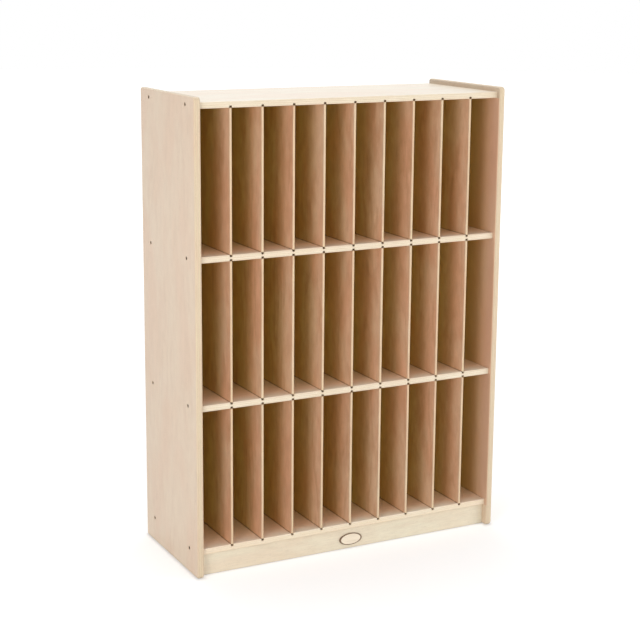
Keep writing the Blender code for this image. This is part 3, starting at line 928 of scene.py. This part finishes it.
class CUBBY_OT_base_boards(bpy.types.Operator):
    """Toe kick and rear rail under the bottom shelf"""

    bl_idname = "cubby.base_boards"
    bl_label = "Toe kick and rear rail"

    def execute(self, context):
        """Carry an eased outline across between the sides."""
        sizes = context.scene.cabinet_sizes
        radii = [sizes.kick_easing, sizes.arris, sizes.arris, sizes.kick_easing]
        for name, node in (("kick_board", "toe_kick"), ("rail_board", "rear_rail")):
            low, high = node_box(node)
            outline = rounded_outline(rectangle(low[1:], high[1:]), radii, sizes.round_steps)[0]
            material = shared_material(node + "_birch", wood_material, "kick_wood", "XZY",
                                       ("Y", low[1], high[1] - low[1], 1.0), figure=1.6)
            make_piece(name, carried_outline(outline, (low[0], high[0]), ALONG_X), material,
                       [node])
        return {"FINISHED"}


class CUBBY_OT_connector_screws(bpy.types.Operator):
    """Connector screws with hexagonal sockets, through the sides into the board ends"""

    bl_idname = "cubby.connector_screws"
    bl_label = "Connector screws"

    def execute(self, context):
        """Turn each screw at its place in the frame."""
        sizes = context.scene.cabinet_sizes
        material = shared_material("bronzed_steel", metal_material)
        for side_name, sign in SIDES:
            for node in screw_names(side_name):
                form = turned(connector_profile(sizes), hexagon, [screw_place(node)], sign,
                              SIDE_OUTER, sizes.turned_steps)
                make_piece(node.replace("screw", "connector"), form, material, [node])
        return {"FINISHED"}


class CUBBY_OT_back_screws(bpy.types.Operator):
    """Small countersunk screws that hold the back panel"""

    bl_idname = "cubby.back_screws"
    bl_label = "Back panel screws"

    def execute(self, context):
        """Turn a flat head with a cross recess and a plain shank at each place."""
        rows = [(0.0, 0.0016), (0.0004, 0.0014, 0.5), (0.0, 0.0003, 1), (0.0021, 0.0001),
                (0.0029, 0.0001), (0.0031, 0.0003), (0.0016, 0.0018), (0.0016, 0.014),
                (0.0, 0.017)]
        make_piece("back_screws", back_screw_forms(rows),
                   shared_material("bronzed_steel", metal_material))
        return {"FINISHED"}


class CUBBY_OT_plaque(bpy.types.Operator):
    """Blank oval plaque of thin wood on the toe kick"""

    bl_idname = "cubby.plaque"
    bl_label = "Blank plaque"

    def execute(self, context):
        """Ease an oval slab: across it runs the oval, through it the quarter rounds."""
        sizes = context.scene.cabinet_sizes
        angle = np.linspace(0.0, 2.0 * math.pi, PLAQUE_SIDES, endpoint=False)
        half = np.array([sizes.plaque_height, sizes.plaque_width]) / 2
        ring = np.stack((np.cos(angle), np.sin(angle)), axis=1)
        outward = ring / half
        outward = outward / np.linalg.norm(outward, axis=1, keepdims=True)
        face = KICK_BOX[0, 1]
        form = eased_slab(plaque_middle() + ring * half, outward, PLAQUE_EASING,
                          face - sizes.plaque_thickness, face - PLAQUE_SEAT, PLAQUE_STEPS, ALONG_Y)
        make_piece("blank_plaque", form, shared_material("plaque_birch", plaque_material))
        return {"FINISHED"}


# Stage

LOW_LAMP = 30.0  # degrees: lamps below aren't mirrored, so that the top doesn't glare from behind
CAMERA_PLACE = (-1.7911, -3.4165, 1.4832)
CAMERA_TURN = (78.335, -0.389, -27.093)  # degrees
WHITE = (1.0, 1.0, 1.0, 1.0)
FLOOR_RADIUS = 20.0
FLOOR_SIDES = 64


def add_lamp(name, azimuth, elevation, distance, size, power):
    """Square lamp aimed at the middle of the cabinet. Azimuth 0 stands straight in front."""
    across, up = math.radians(azimuth), math.radians(elevation)
    back = Vector((math.sin(across) * math.cos(up), -math.cos(across) * math.cos(up), math.sin(up)))
    data = bpy.data.lights.new(name, "AREA")
    data.shape = "SQUARE"
    data.size = size
    data.energy = power
    lamp = bpy.data.objects.new(name, data)
    lamp.location = Vector((0.0, 0.0, TALL / 2)) + back * distance
    lamp.rotation_euler = back.to_track_quat("Z", "Y").to_euler()
    lamp.visible_camera = False
    lamp.visible_glossy = elevation > LOW_LAMP
    bpy.context.scene.collection.objects.link(lamp)


def seen_share(tree):
    """1 on rays from the camera and on those that a glossy or clear surface sends on."""
    path = tree.nodes.new("ShaderNodeLightPath").outputs
    seen = calc("MAXIMUM", path["Is Camera Ray"], path["Is Glossy Ray"])
    return calc("MAXIMUM", seen, path["Is Transmission Ray"])


def beside_foot(place):
    """Distance on the floor from the cabinet: from its sides and rear, and from its toe kick."""
    parts = parts_of(place)
    across = calc("ABSOLUTE", parts["X"])
    out_x = calc("MAXIMUM", minus(across, SIDE_OUTER), 0.0)
    out_y = calc("MAXIMUM", minus(calc("ABSOLUTE", parts["Y"]), REAR), 0.0)
    recess = calc("MINIMUM", minus(KICK_BOX[0, 1], parts["Y"]), minus(SIDE_INNER, across))
    return calc("MAXIMUM", diagonal(out_x, out_y), recess)


class CUBBY_OT_stage(bpy.types.Operator):
    """White surroundings, pale floor, soft lamps and the camera"""

    bl_idname = "cubby.stage"
    bl_label = "Stage"

    def execute(self, context):
        """Set the world, the floor, the lamps and the camera."""
        stage = context.scene.cabinet_stage
        world = bpy.data.worlds.new("white_surroundings")
        world.use_nodes = True
        strength = times(seen_share(world.node_tree), 1.0 - stage.sky, stage.sky)
        feed(world.node_tree.nodes["Background"], {"Color": WHITE, "Strength": strength})
        context.scene.world = world

        ring = np.linspace(0.0, 2.0 * math.pi, FLOOR_SIDES, endpoint=False)
        points = np.stack((np.cos(ring), np.sin(ring), ring * 0.0), axis=1) * FLOOR_RADIUS
        floor = new_object("floor", (points, [list(range(FLOOR_SIDES))]))
        material, shader, place = new_material("pale_floor")
        away = fed_node("ShaderNodeVectorMath", {0: place}, operation="LENGTH")["Value"]
        lift = ramp(away, 1.0, 5.0, stage.floor_near, stage.floor_far)
        lift = times(lift, ramp(beside_foot(place), 0.0, 0.01, stage.floor_foot, 1.0))
        feed(shader, {"Base Color": opaque(stage.floor), "Roughness": 0.9, "Specular IOR Level": 0.0,
                      "Emission Color": WHITE,
                      "Emission Strength": times(seen_share(material.node_tree), lift)})
        floor.data.materials.append(material)

        add_lamp("left_lamp", -53.0, 7.0, 3.6, 1.3, stage.left)
        add_lamp("right_lamp", 54.0, 8.0, 3.6, 1.5, stage.right)
        add_lamp("front_lamp", 12.0, 6.0, 3.8, 2.4, stage.front)
        add_lamp("lamp_above", -60.0, 72.0, 3.6, 1.6, stage.above)
        add_lamp("rear_lamp", 170.0, 70.0, 3.6, 2.0, stage.behind)

        data = bpy.data.cameras.new("camera")
        data.sensor_width = 36.0
        data.lens = 84.006
        data.shift_x = 0.0144
        data.shift_y = -0.0586
        data.clip_start = 0.1
        data.clip_end = 100.0
        camera = bpy.data.objects.new("camera", data)
        camera.location = CAMERA_PLACE
        camera.rotation_euler = np.radians(CAMERA_TURN)
        context.scene.collection.objects.link(camera)
        context.scene.camera = camera
        context.scene.view_settings.view_transform = "Standard"
        return {"FINISHED"}


class CUBBY_PT_cabinet(bpy.types.Panel):
    """Lists the cabinet's pieces and settings in the sidebar"""

    bl_idname = "CUBBY_PT_cabinet"
    bl_label = "Cubby cabinet"
    bl_space_type = "VIEW_3D"
    bl_region_type = "UI"
    bl_category = "Cubby cabinet"

    def draw(self, context):
        """A button for each piece, and every setting under them."""
        for operator in OPERATORS:
            self.layout.operator(operator.bl_idname)
        for name in SETTINGS:
            settings = getattr(context.scene, name)
            box = self.layout.box()
            for key in settings.__annotations__:
                box.prop(settings, key)


SETTINGS = {"cabinet_sizes": CabinetSizes, "cabinet_finish": CabinetFinish,
            "cabinet_stage": CabinetStage}
OPERATORS = (CUBBY_OT_side_panels, CUBBY_OT_boards, CUBBY_OT_dividers, CUBBY_OT_back_panel,
             CUBBY_OT_base_boards, CUBBY_OT_connector_screws, CUBBY_OT_back_screws,
             CUBBY_OT_plaque, CUBBY_OT_stage)
CLASSES = (*SETTINGS.values(), *OPERATORS, CUBBY_PT_cabinet)


def register():
    """Register the classes and hang the settings on the scene."""
    for one in CLASSES:
        bpy.utils.register_class(one)
    for name, settings in SETTINGS.items():
        setattr(bpy.types.Scene, name, bpy.props.PointerProperty(type=settings))


def unregister():
    """Take the settings and the classes away again."""
    for name in SETTINGS:
        delattr(bpy.types.Scene, name)
    for one in reversed(CLASSES):
        bpy.utils.unregister_class(one)


def main():
    """Clear the start scene's own objects, and build every piece."""
    for obj in list(bpy.context.scene.objects):
        if obj.type in ("LIGHT", "CAMERA") or obj.name == "Cube":
            bpy.data.objects.remove(obj)
    register()
    for operator in OPERATORS:
        group, name = operator.bl_idname.split(".")
        getattr(getattr(bpy.ops, group), name)()


if __name__ == "__main__":
    main()
